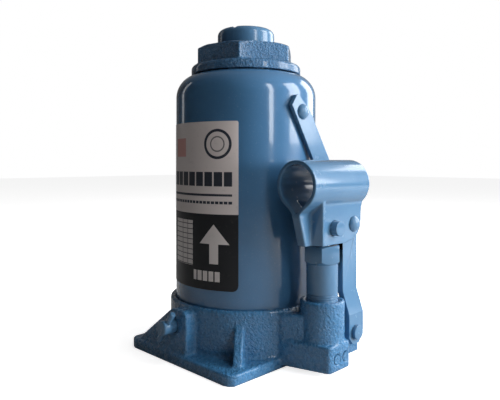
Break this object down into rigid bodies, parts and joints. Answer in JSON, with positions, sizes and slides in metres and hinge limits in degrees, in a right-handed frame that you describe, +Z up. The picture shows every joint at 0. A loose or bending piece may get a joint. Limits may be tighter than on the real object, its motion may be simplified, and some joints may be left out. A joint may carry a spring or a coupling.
{
  "type": "hydraulic bottle jack",
  "caption": "Upright hydraulic bottle jack: cast base, round oil tank, lifting ram with screw extension, side pump with rocking handle socket and release valve.",
  "frame": {"origin": "ram axis on the underside of the base", "axes": "+Z up along the ram, +X towards the pump, -Y towards the release valve and the mouth of the handle socket"},
  "size_m": [0.1409, 0.1372, 0.23],
  "materials": {
    "cast_enamel": "blue enamel over a rough sand casting",
    "blue_enamel": "glossy steel-blue enamel",
    "bare_steel": "oiled machined steel",
    "polished_rod": "ground and polished",
    "black_rubber": "matte",
    "seal_plastic": "satin polyurethane",
    "copper_washer": "satin copper",
    "brass_mesh": "satin",
    "label_film": "glossy printed film"
  },
  "bodies": {
    "jack_body": {"base_casting": "cast_enamel", "reservoir_tube": "blue_enamel", "pressure_cylinder": "bare_steel", "gland_nut": "cast_enamel", "reservoir_gasket": "black_rubber", "nut_gasket": "black_rubber", "cylinder_gasket": "copper_washer", "ram_seal": "black_rubber", "pump_barrel": "blue_enamel", "barrel_gasket": "copper_washer", "plunger_packing": "seal_plastic", "plunger_wiper": "black_rubber", "fulcrum_rivet": "blue_enamel", "outer_link": "blue_enamel", "inner_strap": "blue_enamel", "lug_pin": "blue_enamel", "strap_rivet": "blue_enamel", "delivery_spring": "bare_steel", "delivery_seat": "bare_steel", "channel_plugs": "cast_enamel", "overload_spring": "bare_steel", "overload_screw": "bare_steel", "suction_strainer": "brass_mesh", "filler_plug": "black_rubber", "label": "label_film"},
    "ram": {"ram": "polished_rod", "piston_cup_seal": "seal_plastic", "piston_washer": "bare_steel", "piston_nut": "bare_steel"},
    "stop_ring": {"screw_stop_ring": "bare_steel"},
    "extension_screw": {"extension_screw": "blue_enamel"},
    "handle_socket": {"handle_socket": "blue_enamel", "plunger_pin": "blue_enamel", "pin_clip": "bare_steel"},
    "plunger": {"pump_plunger": "polished_rod"},
    "valve_seal": {"release_seal": "black_rubber"},
    "release_valve": {"release_screw": "blue_enamel", "tee_bar": "blue_enamel"},
    "release_ball": {"release_ball": "bare_steel"},
    "suction_ball": {"suction_ball": "bare_steel"},
    "delivery_ball": {"delivery_ball": "bare_steel"},
    "overload_ball": {"overload_ball": "bare_steel"}
  },
  "joints": [
    {"name": "ram_lift", "type": "slide", "parent": "jack_body", "child": "ram", "axis": [0, 0, 1], "range_m": [0, 0.15]},
    {"name": "screw_rise", "type": "slide", "parent": "ram", "child": "stop_ring", "axis": [0, 0, 1], "range_m": [0, 0.07]},
    {"name": "screw_turn", "type": "hinge", "parent": "stop_ring", "child": "extension_screw", "pos_m": [0, 0, 0.2137], "axis": [0, 0, 1], "range_deg": [0, 6300]},
    {"name": "handle_rock", "type": "hinge", "parent": "jack_body", "child": "handle_socket", "pos_m": [0.0703, 0.021, 0.0924], "axis": [-1, 0, 0], "range_deg": [0, 35]},
    {"name": "plunger_stroke", "type": "slide", "parent": "jack_body", "child": "plunger", "axis": [0, 0, 1], "range_m": [0, 0.0135]},
    {"name": "release_travel", "type": "slide", "parent": "jack_body", "child": "valve_seal", "axis": [0, -1, 0], "range_m": [0, 0.0016]},
    {"name": "release_turn", "type": "hinge", "parent": "valve_seal", "child": "release_valve", "pos_m": [-0.006, -0.06, 0.0244], "axis": [0, -1, 0], "range_deg": [0, 540]},
    {"name": "release_ball_lift", "type": "slide", "parent": "jack_body", "child": "release_ball", "axis": [0, -1, 0], "range_m": [0, 0.0016]},
    {"name": "suction_ball_lift", "type": "slide", "parent": "jack_body", "child": "suction_ball", "axis": [1, 0, 0], "range_m": [0, 0.0015]},
    {"name": "delivery_ball_lift", "type": "slide", "parent": "jack_body", "child": "delivery_ball", "axis": [-1, 0, 0], "range_m": [0, 0.0015], "stiffness_N_per_m": 100, "springref_m": -0.001, "deforming": ["delivery_spring"]},
    {"name": "overload_ball_lift", "type": "slide", "parent": "jack_body", "child": "overload_ball", "axis": [0, 0, 1], "range_m": [0, 0.0012], "stiffness_N_per_m": 200, "springref_m": -0.001, "deforming": ["overload_spring"]}
  ],
  "couplings": [
    {"joint": "screw_rise", "follows": "screw_turn", "m_per_rad": 0.00063662},
    {"joint": "plunger_stroke", "follows": "handle_rock", "m_per_rad": 0.0202},
    {"joint": "release_travel", "follows": "release_turn", "m_per_rad": 0.00015915},
    {"joint": "release_ball_lift", "follows": "release_turn", "m_per_rad": 0.00015915}
  ]
}
